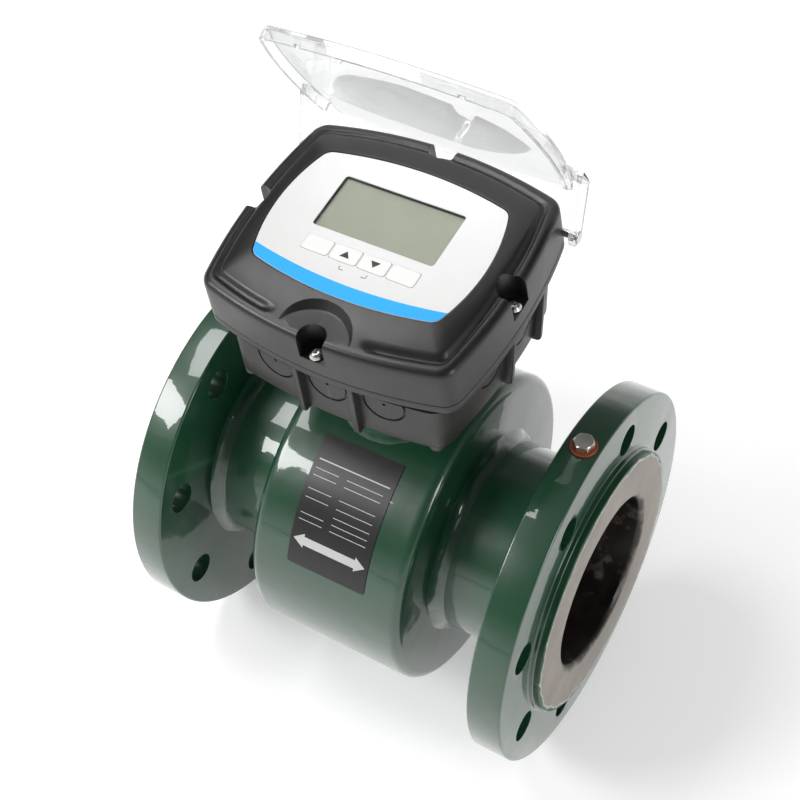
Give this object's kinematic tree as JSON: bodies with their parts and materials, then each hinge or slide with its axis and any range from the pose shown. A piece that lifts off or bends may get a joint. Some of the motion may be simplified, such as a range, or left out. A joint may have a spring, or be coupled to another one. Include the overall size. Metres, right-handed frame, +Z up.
{
  "type": "electromagnetic flow meter",
  "caption": "Flanged pipe flow meter with welded coil housing, short pedestal, black display unit with keys and an open clear hinged cover.",
  "frame": {"origin": "centre of the bore, midway between the liner faces", "axes": "+X along the pipe towards the outlet, -Y towards the display unit's front, +Z up through the pedestal"},
  "size_m": [0.25, 0.22, 0.42],
  "materials": {
    "flange_paint": "gloss, brushed on by hand",
    "hard_rubber": "smooth, dark brown",
    "copper": "enamelled winding",
    "soft_iron": "bare",
    "stainless": "bright",
    "insulator": "plain",
    "plate_black": "satin foil",
    "washer_copper": "oxidised copper",
    "zinc_bolt": "zinc plated",
    "seal_rubber": "matt",
    "housing_black": "satin, fine grain",
    "cover_black": "satin, fine grain",
    "panel_foil": "smooth foil",
    "window_clear": "clear",
    "display_grey": "reflective display",
    "board_green": "solder resist",
    "terminal_grey": "plain",
    "cover_clear": "clear moulding",
    "key_white": "satin"
  },
  "bodies": {
    "meter": {"measuring_tube": "flange_paint", "liner": "hard_rubber", "liner_face_outlet": "hard_rubber", "liner_face_inlet": "hard_rubber", "outlet_flange": "flange_paint", "inlet_flange": "flange_paint", "weld_beads": "flange_paint", "housing_shell": "flange_paint", "housing_cap_outlet": "flange_paint", "housing_cap_inlet": "flange_paint", "coil_upper": "copper", "coil_lower": "copper", "pole_shoe_upper": "soft_iron", "pole_shoe_lower": "soft_iron", "magnet_yoke": "soft_iron", "electrode_front": "stainless", "electrode_back": "stainless", "electrode_bushes": "insulator", "type_plate": "plate_black", "earth_washer": "washer_copper", "earth_bolt": "zinc_bolt", "pedestal_neck": "flange_paint", "pedestal_seat": "flange_paint", "pedestal_gasket": "seal_rubber", "base_screws": "stainless", "enclosure_base": "housing_black", "cover_gasket": "seal_rubber", "front_cover": "cover_black", "cover_screws": "stainless", "hinge_pins": "stainless", "front_panel": "panel_foil", "display_window": "window_clear", "display_module": "display_grey", "circuit_board": "board_green", "key_switches": "insulator", "terminal_board": "board_green", "terminal_blocks": "terminal_grey"},
    "cover": {"transparent_cover": "cover_clear"},
    "key_escape_cap": {"key_escape": "key_white"},
    "key_up_cap": {"key_up": "key_white"},
    "key_down_cap": {"key_down": "key_white"},
    "key_enter_cap": {"key_enter": "key_white"}
  },
  "joints": [
    {"name": "cover_hinge", "type": "hinge", "parent": "meter", "child": "cover", "pos_m": [0, 0.04839, 0.20178], "axis": [1, 0, 0], "range_deg": [-15, 65.9]},
    {"name": "key_escape_press", "type": "slide", "parent": "meter", "child": "key_escape_cap", "axis": [0, 0.1357, -0.9907], "range_m": [0, 0.0007], "stiffness_N_per_m": 1500},
    {"name": "key_up_press", "type": "slide", "parent": "meter", "child": "key_up_cap", "axis": [0, 0.1357, -0.9907], "range_m": [0, 0.0007], "stiffness_N_per_m": 1500},
    {"name": "key_down_press", "type": "slide", "parent": "meter", "child": "key_down_cap", "axis": [0, 0.1357, -0.9907], "range_m": [0, 0.0007], "stiffness_N_per_m": 1500},
    {"name": "key_enter_press", "type": "slide", "parent": "meter", "child": "key_enter_cap", "axis": [0, 0.1357, -0.9907], "range_m": [0, 0.0007], "stiffness_N_per_m": 1500}
  ]
}
